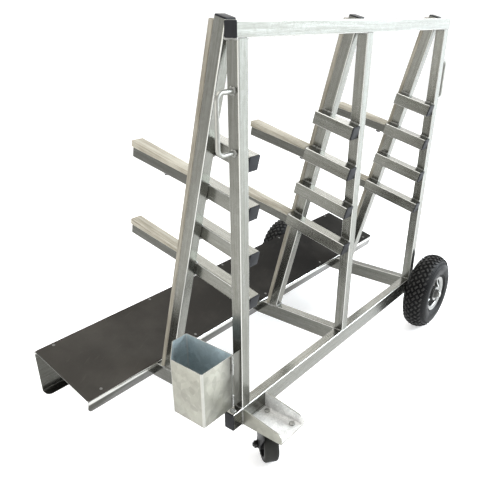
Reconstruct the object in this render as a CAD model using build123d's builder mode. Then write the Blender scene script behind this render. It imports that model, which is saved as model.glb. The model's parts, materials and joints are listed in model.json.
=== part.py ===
from build123d import *
from math import cos, radians, sin, tan
import os

os.makedirs("parts", exist_ok=True)

# Tube stock
tube = 30.0
wall = 2.0
corner = 3.0
beam_height = 50.0

# Front frame: the front face of the posts, the beams' heights and the three frames along X
front = -276.0
beam_bottom = 145.0
beam_top = beam_bottom + beam_height
rack_top = 1064.0
frame_starts = {"near": -520.0, "mid": -37.0, "far": 447.0}
bottom_beam_start = -553.0
bottom_beam_end = 479.0
top_beam_start = -522.0
top_beam_end = 479.0

# Leaning legs and their rubbing laths
lean = 14.75
leg_seat = 5.0
leg_run = 1000.0
lath = 12.0
lath_drop = 8.0

# Sleeves square to the legs, by the height of their front top edge
sleeve = 35.0
sleeve_tops = [817.0, 710.0, 602.0, 494.0]
sleeve_sides = {"near": 1, "mid": -1, "far": -1}
plug_head = 3.0
plug_depth = 14.0
plug_gap = 0.2
plug_taper = 20.0

# Pull-out arms: a tube lying slack in its sleeve, with a wedge of a strip that stops at the sleeve's end
arm_root = 85.0
arm_height = 26.0
arm_slack = 0.35
arm_sag = 2.6
strip_root = 8.0
strip_tip = 15.5
strip_width = 34.0
strip_overhang = 4.0
strip_gap = 1.0
arm_rows = {"upper": 1, "lower": 3}
arm_reach = {
    "near_upper": 225.0,
    "mid_upper": 195.0,
    "far_upper": 195.0,
    "near_lower": 208.0,
    "mid_lower": 208.0,
    "far_lower": 208.0,
}
arm_bolt_reach = {"near_upper": 118.0, "mid_upper": 13.0, "far_upper": 27.0}
arm_bolt_radius = 4.0
arm_bolt_bite = 6.0
arm_washer_radius = 8.0
arm_washer = 1.5
arm_bolt_head = 5.5
arm_bolt_flats = 13.0

# Deck
deck_length = 1500.0
deck_width = 242.0
deck_fold_y = front + 317.0
deck_fold_z = beam_top + 2.0
deck_sheet = 2.0
deck_bend = 6.0
deck_lip = 40.0
deck_skirt_bottom = 120.0
deck_return = 30.0
deck_corner = 14.0
notch_gap = 0.5
edge_match = 0.01
board = 4.0
board_front_inset = 2.5
board_rear_inset = 7.0
board_side_inset = 0.5
board_corner = 4.0

# Handles of round bar
bar = 10.0
handle_low = 828.0
handle_high = 944.0
handle_reach = 46.0
handle_bend = 15.0

# Tool bin, in plan from the near post
bin_bottom = 219.0
bin_height = 150.0
bin_sheet = 2.0
bin_bend = 5.0
bin_seam = 1.0
bin_seam_bottom = 255.0
bin_seam_height = 60.0
bin_front = front + 4.0
bin_near_end = -653.0
bin_near_depth = 104.0
bin_depth = 158.0
bin_rear_start = -596.0
bin_inner_end = -547.0

# Caster bracket and the caster's bolt pattern
bracket_plate = 4.0
bracket_width = 96.0
bracket_length = 122.0
bracket_back = 48.0
bracket_nose = 12.0
bracket_nose_radius = 14.0
caster_centre = (-475.0, -336.0)
bolt_pitch_x = 60.0
bolt_pitch_y = 80.0
bolt_radius = 4.0
bolt_hole_radius = 4.5
bolt_flats = 13.0
bolt_head = 5.3
nut_height = 6.5
bolt_tail = 3.0

# Caster
plate_x = 84.0
plate_y = 104.0
plate_corner = 8.0
plate_thick = 3.0
race_radius = 27.0
race_bore = 20.0
race_bottom = 135.3
kingpin_radius = 6.0
kingpin_fit = 0.05
kingpin_flange = 10.0
kingpin_flange_height = 3.0
caster_heading = 52.0
caster_trail = 40.0
caster_radius = 52.5
caster_width = 39.0
caster_tread = 9.0
caster_shoulder = 7.0
caster_hub_radius = 17.0
caster_hub_width = 49.0
caster_web = 12.0
fork_top = 135.0
fork_sheet = 3.5
fork_gap = 50.0
fork_bend = 6.0
fork_crown = 54.0
fork_crown_height = 16.0
fork_foot_radius = 13.0
fork_shift = 4.0
caster_bolt_radius = 6.0
caster_bolt_fit = 0.05
caster_bolt_clear = 0.1
caster_bolt_flats = 19.0
caster_bolt_head = 7.5
caster_nut = 10.0
caster_bolt_tail = 4.0

# Axle and the two pneumatic wheels
wheel_radius = 141.0
wheel_half = 45.0
axle_x = 502.0
axle_radius = 10.0
axle_fit = 0.05
axle_front_end = -384.0
axle_rear_end = 398.0
axle_chamfer = 1.5
wheel_centres = {"front": front - 53.0, "rear": front + 616.0}
wheel_outward = {"front": -1, "rear": 1}
hub_radius = 26.0
hub_half = 37.5
hub_bore = 20.0
bearing_radius = 23.5
bearing_width = 14.0
bearing_recess = 2.0
bearing_inner_race = 13.5
bearing_outer_race = 20.0
end_gap = 0.4
washer_radius = 18.5
washer = 3.0
axle_nut_flats = 30.0
axle_nut = 8.0
collar_radius = 17.0
collar = 9.0
hanger = 8.0
hanger_radius = 20.0
hanger_top = 190.0
hanger_bottom = 147.0
hanger_root = 10.0
hanger_places = [-200.0, 230.0]
axle_hole_gap = 3.0

# Tyre and rim sections, as radius and distance from the wheel's middle plane
rim_sheet = 2.2
rim_seat = 53.0
rim_disc = 44.0
rim_drop = 10.5
rim_seat_end = 30.7
rim_lip = (66.0, 35.0)
rim_bend = 4.0
bead_toe = 19.0
bead_heel = 27.0
bead_corner = (56.7, 30.7)
tyre_clinch = (66.0, 34.1)
tyre_bulge = (95.8, wheel_half)
tyre_round = 46.6
tyre_round_centre = 91.6
tyre_round_end = 55.5
tyre_wall = 6.6
tyre_inner_foot = (63.0, 26.0)
tyre_inner_bulge = (94.8, 38.3)
knob_count = 40
knob_length = 14.0
knob_width = 7.8
knob_height = 2.5
knob_root = 6.0
knob_turn = 35.0
knob_rows = [-37.5, -22.5, -7.5, 7.5, 22.5, 37.5]

# Directions along the sleeves and up the legs, and along and square to the sagging arms
rise = radians(lean)
along = Vector(0, cos(rise), sin(rise))
upward = Vector(0, -sin(rise), cos(rise))
droop = radians(lean - arm_sag)
arm_along = Vector(0, cos(droop), sin(droop))
arm_upward = Vector(0, -sin(droop), cos(droop))
leg_head_y = front + tube - leg_seat * tan(rise)

# Deck profile, from the lip round the front fold and down the rear skirt
deck_rear = deck_fold_y + deck_width * cos(rise)
deck_line = [
    (deck_fold_y + deck_lip * sin(rise), deck_fold_z - deck_lip * cos(rise)),
    (deck_fold_y, deck_fold_z),
    (deck_rear, deck_fold_z + deck_width * sin(rise)),
    (deck_rear, deck_skirt_bottom),
    (deck_rear - deck_return, deck_skirt_bottom),
]

# Bin walls in plan, outside the sheet
bin_line = [
    (bin_near_end, bin_front),
    (bin_near_end, front + bin_near_depth),
    (bin_rear_start, front + bin_depth),
    (bin_inner_end, front + bin_depth),
    (bin_inner_end, bin_front),
]


def save(piece, name):
    piece.part.label = name
    export_step(piece.part, f"parts/{name}.step")


def tube_run(plane, width, height, length):
    with BuildSketch(plane) as section:
        RectangleRounded(width, height, corner)
        RectangleRounded(width - 2 * wall, height - 2 * wall, corner - wall, mode=Mode.SUBTRACT)
    extrude(section.sketch, amount=length)


def end_plug(plane, width, height):
    with BuildSketch(plane) as head:
        RectangleRounded(width, height, corner)
    extrude(head.sketch, amount=plug_head, taper=plug_taper)
    with BuildSketch(plane) as stem:
        RectangleRounded(width - 2 * (wall + plug_gap), height - 2 * (wall + plug_gap), corner - wall)
    extrude(stem.sketch, amount=-plug_depth)


def hexagon(flats):
    RegularPolygon(flats / 2, 6, major_radius=False)


def leg_plane(place):
    head = Vector(frame_starts[place] + tube / 2, leg_head_y, rack_top)
    return Plane(origin=head + along * (tube / 2), x_dir=(1, 0, 0), z_dir=upward)


def sleeve_middle(place):
    if sleeve_sides[place] > 0:
        return frame_starts[place] + tube + sleeve / 2
    return frame_starts[place] - sleeve / 2


def sleeve_length(row):
    head = Vector(0, leg_head_y, rack_top) - Vector(0, front, sleeve_tops[row])
    return head.dot(along) + tube


def sleeve_plane(place, row):
    edge = Vector(sleeve_middle(place), front, sleeve_tops[row])
    return Plane(origin=edge - upward * (sleeve / 2), x_dir=(1, 0, 0), z_dir=along)


def spin_plane(centre, axis):
    return Plane(origin=centre, x_dir=(0, 0, 1), z_dir=Vector(0, 0, 1).cross(Vector(*axis)))


def crown_point(reach, angle):
    turn = radians(angle)
    return tyre_round_centre + reach * cos(turn), reach * sin(turn)


def ring(plane, outer, inner, height):
    with BuildSketch(plane) as band:
        Circle(outer)
        Circle(inner, mode=Mode.SUBTRACT)
    extrude(band.sketch, amount=height)


# Beams
with BuildPart() as bottom_beam:
    beam_start = (bottom_beam_start, front + tube / 2, beam_bottom + beam_height / 2)
    tube_run(Plane(origin=beam_start, x_dir=(0, 1, 0), z_dir=(1, 0, 0)), tube, beam_height,
             bottom_beam_end - bottom_beam_start)
save(bottom_beam, "bottom_beam")

with BuildPart() as top_beam:
    beam_start = (top_beam_start, front + tube / 2, rack_top - tube / 2)
    tube_run(Plane(origin=beam_start, x_dir=(0, 1, 0), z_dir=(1, 0, 0)), tube, tube,
             top_beam_end - top_beam_start)
save(top_beam, "top_beam")

# Posts, cross tubes, legs, laths and sleeves of the three frames
for place, start_x in frame_starts.items():
    middle = start_x + tube / 2

    with BuildPart() as post:
        tube_run(Plane(origin=(middle, front + tube / 2, beam_top)), tube, tube,
                 rack_top - tube - beam_top)
    save(post, f"{place}_post")

    with BuildPart() as cross_tube:
        joint = (middle, front + tube, beam_bottom + beam_height / 2)
        tube_run(Plane(origin=joint, x_dir=(-1, 0, 0), z_dir=(0, 1, 0)), tube, beam_height,
                 deck_rear - deck_sheet - front - tube)
    save(cross_tube, f"{place}_cross_tube")

    with BuildPart() as leg:
        tube_run(leg_plane(place), tube, tube, -leg_run)
        split(bisect_by=Plane.XY.offset(beam_top), keep=Keep.TOP)
        split(bisect_by=Plane(origin=(0, front + tube, 0), z_dir=(0, 1, 0)), keep=Keep.TOP)
    save(leg, f"{place}_leg")

    with BuildPart() as leg_strip:
        with BuildSketch(leg_plane(place).offset(-lath_drop)):
            with Locations((0, (tube + lath) / 2)):
                Rectangle(tube, lath)
        extrude(amount=-leg_run)
        split(bisect_by=Plane.XY.offset(beam_top), keep=Keep.TOP)
    save(leg_strip, f"{place}_leg_strip")

    with BuildPart() as sleeves:
        for row in range(len(sleeve_tops)):
            tube_run(sleeve_plane(place, row), sleeve, sleeve, sleeve_length(row))
    save(sleeves, f"{place}_sleeves")

# Black plugs in the sleeves' front ends, and in the ends of the beams and legs
with BuildPart() as sleeve_plugs:
    for place in frame_starts:
        for row in range(len(sleeve_tops)):
            mouth = sleeve_plane(place, row).origin
            end_plug(Plane(origin=mouth, x_dir=(1, 0, 0), z_dir=-along), sleeve, sleeve)
save(sleeve_plugs, "sleeve_plugs")

with BuildPart() as tube_plugs:
    beam_y = front + tube / 2
    low_z = beam_bottom + beam_height / 2
    high_z = rack_top - tube / 2
    for end_x, end_z, height, way in [
        (bottom_beam_start, low_z, beam_height, -1),
        (bottom_beam_end, low_z, beam_height, 1),
        (top_beam_start, high_z, tube, -1),
        (top_beam_end, high_z, tube, 1),
    ]:
        end_plug(Plane(origin=(end_x, beam_y, end_z), x_dir=(0, 1, 0), z_dir=(way, 0, 0)), tube, height)
    for place in frame_starts:
        end_plug(leg_plane(place), tube, tube)
save(tube_plugs, "tube_plugs")

# Pull-out arms, their rubbing strips and the bolts that hold the strips
for name, reach in arm_reach.items():
    place, level = name.split("_")
    row = arm_rows[level]
    mouth = sleeve_plane(place, row).offset(sleeve_length(row))
    rest = mouth.origin - upward * (sleeve / 2 - wall - arm_slack)
    tip = rest + arm_upward * (arm_height / 2) + arm_along * reach
    arm_plane = Plane(origin=tip, x_dir=(1, 0, 0), z_dir=arm_along)
    strip_seat = arm_height / 2
    strip_start = strip_gap - reach
    bolt_plane = None
    if name in arm_bolt_reach:
        under = rest + arm_along * arm_bolt_reach[name]
        bolt_plane = Plane(origin=under, x_dir=(1, 0, 0), z_dir=arm_upward)

    with BuildPart() as arm:
        tube_run(arm_plane, tube, arm_height, -(reach + arm_root))
        if bolt_plane:
            with BuildSketch(bolt_plane):
                Circle(arm_bolt_radius + plug_gap)
            extrude(amount=arm_height, mode=Mode.SUBTRACT)
    save(arm, f"{name}_arm")

    with BuildPart() as strip:
        with BuildSketch(Plane(origin=tip, x_dir=arm_along, z_dir=(1, 0, 0))):
            with BuildLine():
                Polyline((strip_start, strip_seat), (strip_overhang, strip_seat),
                         (strip_overhang, strip_seat + strip_tip), (strip_start, strip_seat + strip_root),
                         close=True)
            make_face()
        extrude(amount=strip_width / 2, both=True)
        if bolt_plane:
            with BuildSketch(bolt_plane.offset(arm_height)):
                Circle(arm_bolt_radius + plug_gap)
            extrude(amount=arm_bolt_bite, mode=Mode.SUBTRACT)
    save(strip, f"{name}_strip")

    if bolt_plane:
        with BuildPart() as arm_bolt:
            with BuildSketch(bolt_plane):
                Circle(arm_bolt_radius)
            extrude(amount=arm_height + arm_bolt_bite)
            with BuildSketch(bolt_plane):
                Circle(arm_washer_radius)
            extrude(amount=-arm_washer)
            with BuildSketch(bolt_plane.offset(-arm_washer)):
                hexagon(arm_bolt_flats)
            extrude(amount=-arm_bolt_head)
        save(arm_bolt, f"{name}_bolt")

# Deck tray: one folded sheet, notched over the cross tubes and pierced for the axle
with BuildPart() as deck_tray:
    with BuildSketch(Plane.YZ.offset(-deck_length / 2)):
        with BuildLine():
            fold_line = FilletPolyline(*deck_line, radius=deck_bend)
            offset(fold_line, amount=deck_sheet, side=Side.RIGHT)
        make_face()
    extrude(amount=deck_length)
    sheet_corners = deck_tray.edges().filter_by(lambda edge: abs(edge.length - deck_sheet) < edge_match)
    fillet(sheet_corners, radius=deck_corner)
    with BuildSketch(Plane.XY.offset(beam_top)):
        for start_x in frame_starts.values():
            with Locations((start_x + tube / 2, deck_fold_y)):
                Rectangle(tube + 2 * notch_gap, deck_lip)
    extrude(amount=-beam_height, mode=Mode.SUBTRACT)
    with BuildSketch(Plane(origin=(axle_x, deck_rear, wheel_radius), z_dir=(0, 1, 0))):
        Circle(axle_radius + axle_hole_gap)
    extrude(amount=deck_sheet, both=True, mode=Mode.SUBTRACT)
save(deck_tray, "deck_tray")

with BuildPart() as deck_board:
    with BuildSketch(Plane(origin=(0, deck_fold_y, deck_fold_z), x_dir=(1, 0, 0), z_dir=upward)):
        with Locations((0, board_front_inset)):
            RectangleRounded(deck_length - 2 * board_side_inset,
                             deck_width - board_front_inset - board_rear_inset,
                             board_corner, align=(Align.CENTER, Align.MIN))
    extrude(amount=board)
save(deck_board, "deck_board")

# Tool bin: a folded wrap with a floor, a flange to the post and a slit between the seam's welds
with BuildPart() as tool_bin:
    with BuildSketch(Plane.XY.offset(bin_bottom)) as bin_plan:
        with BuildLine():
            FilletPolyline(*bin_line, radius=bin_bend, close=True)
        make_face()
    extrude(amount=bin_sheet)
    with BuildSketch(Plane.XY.offset(bin_bottom)):
        add(bin_plan.sketch_local)
        offset(bin_plan.sketch_local, amount=-bin_sheet, mode=Mode.SUBTRACT)
        flange_start = bin_inner_end - bin_bend
        with Locations((flange_start, bin_front)):
            Rectangle(frame_starts["near"] - flange_start, bin_sheet, align=(Align.MIN, Align.MIN))
    extrude(amount=bin_height)
    with BuildSketch(Plane.XY.offset(bin_seam_bottom)):
        with Locations((flange_start, bin_front)):
            Rectangle(bin_seam, 3 * bin_sheet)
    extrude(amount=bin_seam_height, mode=Mode.SUBTRACT)
save(tool_bin, "tool_bin")

# Handles of bent bar on the end posts
for place, face_x, way in [
    ("near", frame_starts["near"], -1),
    ("far", frame_starts["far"] + tube, 1),
]:
    grip_y = front + tube / 2
    grip_x = face_x + way * handle_reach
    with BuildPart() as handle:
        with BuildLine() as bend:
            FilletPolyline((face_x, grip_y, handle_low), (grip_x, grip_y, handle_low),
                           (grip_x, grip_y, handle_high), (face_x, grip_y, handle_high),
                           radius=handle_bend)
        with BuildSketch(Plane(origin=(face_x, grip_y, handle_low), z_dir=(way, 0, 0))):
            Circle(bar / 2)
        sweep(path=bend.wire())
    save(handle, f"{place}_handle")

# Caster bracket: a folded tray on the beam's front face, with tapering cheeks
with BuildPart() as caster_bracket:
    base_x = frame_starts["near"]
    with BuildSketch(Plane.XY.offset(beam_bottom)):
        with Locations((base_x + bracket_width / 2, front - bracket_length / 2)):
            Rectangle(bracket_width, bracket_length)
        with Locations(caster_centre):
            with GridLocations(bolt_pitch_x, bolt_pitch_y, 2, 2):
                Circle(bolt_hole_radius, mode=Mode.SUBTRACT)
    extrude(amount=bracket_plate)
    for cheek_x in (base_x, base_x + bracket_width - bracket_plate):
        with BuildSketch(Plane.YZ.offset(cheek_x)) as cheek:
            with BuildLine():
                Polyline((front, beam_bottom), (front, beam_bottom + bracket_back),
                         (front - bracket_length, beam_bottom + bracket_nose + bracket_nose_radius),
                         (front - bracket_length, beam_bottom), close=True)
            make_face()
            nose = cheek.vertices().group_by(Axis.X)[0].sort_by(Axis.Y)[-1]
            fillet(nose, radius=bracket_nose_radius)
        extrude(amount=bracket_plate)
save(caster_bracket, "caster_bracket")

# Caster top plate with its upper race, and the kingpin riveted to it
caster_x, caster_y = caster_centre
plate_plane = Plane(origin=(caster_x, caster_y, beam_bottom))
with BuildPart() as caster_top_plate:
    with BuildSketch(plate_plane):
        RectangleRounded(plate_x, plate_y, plate_corner)
        with GridLocations(bolt_pitch_x, bolt_pitch_y, 2, 2):
            Circle(bolt_hole_radius, mode=Mode.SUBTRACT)
        Circle(kingpin_radius, mode=Mode.SUBTRACT)
    extrude(amount=-plate_thick)
    race_height = beam_bottom - plate_thick - race_bottom
    ring(plate_plane.offset(-plate_thick), race_radius, race_bore, -race_height)
save(caster_top_plate, "caster_top_plate")

with BuildPart() as caster_kingpin:
    with BuildSketch(plate_plane):
        Circle(kingpin_radius)
    extrude(amount=-(beam_bottom - fork_top + fork_sheet + end_gap))
    with BuildSketch(Plane(origin=(caster_x, caster_y, fork_top - fork_sheet - end_gap))):
        Circle(kingpin_flange)
    extrude(amount=-kingpin_flange_height)
save(caster_kingpin, "caster_kingpin")

with BuildPart() as caster_bolts:
    top_z = beam_bottom + bracket_plate
    low_z = beam_bottom - plate_thick
    for hole in GridLocations(bolt_pitch_x, bolt_pitch_y, 2, 2):
        hole_x = caster_x + hole.position.X
        hole_y = caster_y + hole.position.Y
        with BuildSketch(Plane(origin=(hole_x, hole_y, low_z - nut_height - bolt_tail))):
            Circle(bolt_radius)
        extrude(amount=top_z - low_z + nut_height + bolt_tail)
        with BuildSketch(Plane(origin=(hole_x, hole_y, top_z))):
            hexagon(bolt_flats)
        extrude(amount=bolt_head)
        with BuildSketch(Plane(origin=(hole_x, hole_y, low_z))):
            hexagon(bolt_flats)
        extrude(amount=-nut_height)
save(caster_bolts, "caster_bolts")

# Caster fork: a bent channel trimmed to its side outline
heading = radians(caster_heading)
trail_way = (cos(heading), sin(heading), 0)
axle_way = (-sin(heading), cos(heading), 0)
side_plane = Plane(origin=(caster_x, caster_y, 0), x_dir=trail_way, z_dir=(sin(heading), -cos(heading), 0))
end_plane = Plane(origin=(caster_x, caster_y, 0), x_dir=axle_way, z_dir=trail_way)
caster_hub = (caster_x + caster_trail * cos(heading), caster_y + caster_trail * sin(heading), caster_radius)
fork_half = fork_gap / 2 + fork_sheet
with BuildPart() as caster_fork:
    with BuildSketch(end_plane):
        with BuildLine():
            channel = FilletPolyline((-fork_half, 0), (-fork_half, fork_top), (fork_half, fork_top),
                                     (fork_half, 0), radius=fork_bend)
            offset(channel, amount=fork_sheet, side=Side.RIGHT)
        make_face()
    extrude(amount=fork_crown * 2, both=True)
    with BuildSketch(side_plane):
        with Locations((caster_trail, caster_radius)):
            Circle(fork_foot_radius)
        with Locations((fork_shift, fork_top - fork_crown_height / 2)):
            Rectangle(fork_crown, fork_crown_height)
        make_hull()
    extrude(amount=fork_crown, both=True, mode=Mode.INTERSECT)
    with BuildSketch(side_plane):
        with Locations((caster_trail, caster_radius)):
            Circle(caster_bolt_radius + caster_bolt_clear)
    extrude(amount=fork_crown, both=True, mode=Mode.SUBTRACT)
    with BuildSketch(Plane(origin=(caster_x, caster_y, fork_top))):
        Circle(kingpin_radius + kingpin_fit)
    extrude(amount=-fork_crown_height, mode=Mode.SUBTRACT)
save(caster_fork, "caster_fork")

with BuildPart() as caster_axle_bolt:
    hub_plane = Plane(origin=caster_hub, x_dir=(0, 0, 1), z_dir=axle_way)
    with BuildSketch(hub_plane.offset(-fork_half)):
        Circle(caster_bolt_radius)
    extrude(amount=2 * fork_half + caster_nut + caster_bolt_tail)
    with BuildSketch(hub_plane.offset(-fork_half)):
        hexagon(caster_bolt_flats)
    extrude(amount=-caster_bolt_head)
    with BuildSketch(hub_plane.offset(fork_half)):
        hexagon(caster_bolt_flats)
    extrude(amount=caster_nut)
save(caster_axle_bolt, "caster_axle_bolt")

# Caster wheel: a moulded core and a rubber tread
core_radius = caster_radius - caster_tread
with BuildPart() as caster_core:
    with BuildSketch(spin_plane(caster_hub, axle_way)) as core_section:
        with BuildLine():
            Polyline((caster_bolt_radius + caster_bolt_fit, 0),
                     (caster_bolt_radius + caster_bolt_fit, caster_hub_width / 2),
                     (caster_hub_radius, caster_hub_width / 2),
                     (caster_hub_radius, caster_web / 2),
                     (core_radius - caster_shoulder, caster_web / 2),
                     (core_radius - caster_shoulder, caster_width / 2),
                     (core_radius, caster_width / 2),
                     (core_radius, 0), close=True)
        make_face()
        mirror(about=Plane.XZ)
    revolve(axis=Axis(caster_hub, axle_way))
save(caster_core, "caster_core")

with BuildPart() as caster_tread_ring:
    with BuildSketch(spin_plane(caster_hub, axle_way)) as tread_section:
        with Locations((core_radius + caster_tread / 2, 0)):
            Rectangle(caster_tread, caster_width)
        fillet(tread_section.vertices().group_by(Axis.X)[-1], radius=caster_shoulder)
    revolve(axis=Axis(caster_hub, axle_way))
save(caster_tread_ring, "caster_tread")

# Axle, its hangers on the far cross tube, and its collars, washers and nuts
with BuildPart() as axle:
    with BuildSketch(Plane(origin=(axle_x, axle_front_end, wheel_radius), z_dir=(0, 1, 0))):
        Circle(axle_radius)
    extrude(amount=axle_rear_end - axle_front_end)
    chamfer(axle.edges().filter_by(GeomType.CIRCLE), length=axle_chamfer)
save(axle, "axle")

with BuildPart() as axle_hangers:
    face_x = frame_starts["far"] + tube
    for hanger_y in hanger_places:
        with BuildSketch(Plane(origin=(0, hanger_y, 0), x_dir=(1, 0, 0), z_dir=(0, -1, 0))):
            with Locations((axle_x, wheel_radius)):
                Circle(hanger_radius)
            with Locations((face_x + hanger_root / 2, (hanger_top + hanger_bottom) / 2)):
                Rectangle(hanger_root, hanger_top - hanger_bottom)
            make_hull()
            with Locations((axle_x, wheel_radius)):
                Circle(axle_radius, mode=Mode.SUBTRACT)
        extrude(amount=hanger)
save(axle_hangers, "axle_hangers")

with BuildPart() as axle_fasteners:
    for end, way in wheel_outward.items():
        hub_face = wheel_centres[end] + way * (hub_half + end_gap)
        inner_face = wheel_centres[end] - way * (hub_half + end_gap)
        outward = (0, way, 0)
        hub_plane = Plane(origin=(axle_x, hub_face, wheel_radius), z_dir=outward)
        inner_plane = Plane(origin=(axle_x, inner_face, wheel_radius), z_dir=outward)
        ring(hub_plane, washer_radius, axle_radius, washer)
        ring(inner_plane, collar_radius, axle_radius, -collar)
        with BuildSketch(hub_plane.offset(washer)):
            hexagon(axle_nut_flats)
            Circle(axle_radius, mode=Mode.SUBTRACT)
        extrude(amount=axle_nut)
save(axle_fasteners, "axle_fasteners")

# Pneumatic wheels: knobby tyre, two pressed rim halves, hub and bearings
for end, centre_y in wheel_centres.items():
    centre = (axle_x, centre_y, wheel_radius)
    section_plane = spin_plane(centre, (0, 1, 0))
    spin = Axis(centre, (0, 1, 0))

    with BuildPart(Plane(origin=centre, x_dir=(1, 0, 0), z_dir=(0, 1, 0))) as tyre:
        with BuildSketch(section_plane):
            with BuildLine():
                inside = tyre_round - tyre_wall
                ThreePointArc(crown_point(inside, 0), crown_point(inside, tyre_round_end / 2),
                              crown_point(inside, tyre_round_end))
                ThreePointArc(crown_point(inside, tyre_round_end), tyre_inner_bulge, tyre_inner_foot)
                Polyline(tyre_inner_foot, (rim_seat, bead_toe), (rim_seat, bead_heel), bead_corner,
                         tyre_clinch)
                ThreePointArc(tyre_clinch, tyre_bulge, crown_point(tyre_round, tyre_round_end))
                ThreePointArc(crown_point(tyre_round, tyre_round_end),
                              crown_point(tyre_round, tyre_round_end / 2), crown_point(tyre_round, 0))
                Line(crown_point(tyre_round, 0), crown_point(inside, 0))
            make_face()
            mirror(about=Plane.XZ)
        revolve(axis=spin)
        for row, row_angle in enumerate(knob_rows):
            half_step = 180.0 / knob_count * (row % 2)
            row_turn = knob_turn if row % 2 else -knob_turn
            row_radius, row_place = crown_point(tyre_round + knob_height - knob_root / 2, row_angle)
            with Locations((0, 0, row_place)):
                with PolarLocations(row_radius, knob_count, start_angle=half_step):
                    Box(knob_root, knob_length, knob_width, rotation=(row_turn, -row_angle, 0))
    save(tyre, f"{end}_tyre")

    for side, way in [("outer", wheel_outward[end]), ("inner", -wheel_outward[end])]:
        with BuildPart() as rim:
            with BuildSketch(section_plane):
                with BuildLine():
                    rim_line = FilletPolyline(
                        (hub_radius, 0), (rim_disc, 0), (rim_seat, way * rim_drop),
                        (rim_seat, way * rim_seat_end), (rim_lip[0], way * rim_lip[1]), radius=rim_bend)
                    offset(rim_line, amount=rim_sheet, side=Side.LEFT if way > 0 else Side.RIGHT)
                make_face()
            revolve(axis=spin)
        save(rim, f"{end}_{side}_rim")

    with BuildPart() as hub:
        with BuildSketch(section_plane) as hub_section:
            with BuildLine():
                Polyline((hub_bore, 0), (hub_bore, hub_half - bearing_width),
                         (bearing_radius, hub_half - bearing_width), (bearing_radius, hub_half),
                         (hub_radius, hub_half), (hub_radius, 0), close=True)
            make_face()
            mirror(about=Plane.XZ)
        revolve(axis=spin)
    save(hub, f"{end}_hub")

    with BuildPart() as bearings:
        for way in (-1, 1):
            face_y = centre_y + way * hub_half
            face_plane = Plane(origin=(axle_x, face_y, wheel_radius), z_dir=(0, way, 0))
            ring(face_plane, bearing_radius, axle_radius + axle_fit, -bearing_width)
            with BuildSketch(face_plane):
                Circle(bearing_outer_race)
                Circle(bearing_inner_race, mode=Mode.SUBTRACT)
            extrude(amount=-bearing_recess, mode=Mode.SUBTRACT)
    save(bearings, f"{end}_bearings")
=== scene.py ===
import bpy
import json
import math
import random
from mathutils import Matrix, Vector


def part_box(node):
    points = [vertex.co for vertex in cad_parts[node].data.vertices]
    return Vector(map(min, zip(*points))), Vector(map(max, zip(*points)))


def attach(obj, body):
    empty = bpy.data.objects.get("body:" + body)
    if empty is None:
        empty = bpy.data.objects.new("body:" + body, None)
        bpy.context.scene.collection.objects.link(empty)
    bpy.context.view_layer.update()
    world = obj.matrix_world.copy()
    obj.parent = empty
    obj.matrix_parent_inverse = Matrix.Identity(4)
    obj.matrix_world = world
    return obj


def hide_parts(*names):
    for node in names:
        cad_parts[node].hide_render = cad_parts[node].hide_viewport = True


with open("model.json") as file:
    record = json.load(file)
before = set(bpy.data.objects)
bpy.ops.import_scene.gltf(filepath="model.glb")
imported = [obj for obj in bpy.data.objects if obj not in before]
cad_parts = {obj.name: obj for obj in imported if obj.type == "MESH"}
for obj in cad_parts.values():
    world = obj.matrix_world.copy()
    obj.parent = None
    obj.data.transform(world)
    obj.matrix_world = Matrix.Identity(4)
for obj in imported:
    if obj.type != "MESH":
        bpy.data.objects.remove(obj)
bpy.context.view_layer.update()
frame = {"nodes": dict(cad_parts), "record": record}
print("frame loaded:", len(frame["nodes"]), "nodes")


def centreOf(node):
    low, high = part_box(node)
    return (low + high) / 2


class Wire:  # a shader socket that takes part in sums
    def __init__(self, finish, socket):
        self.finish = finish
        self.socket = socket

    def sum(self, operation, left, right):
        return self.finish.node("ShaderNodeMath", {"operation": operation}, {0: left, 1: right})

    def __add__(self, other):
        return self.sum("ADD", self, other)

    def __radd__(self, other):
        return self.sum("ADD", other, self)

    def __sub__(self, other):
        return self.sum("SUBTRACT", self, other)

    def __rsub__(self, other):
        return self.sum("SUBTRACT", other, self)

    def __mul__(self, other):
        return self.sum("MULTIPLY", self, other)

    def __rmul__(self, other):
        return self.sum("MULTIPLY", other, self)

    def __pow__(self, other):
        return self.sum("POWER", self, other)

    def __rpow__(self, other):
        return self.sum("POWER", other, self)


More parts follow.
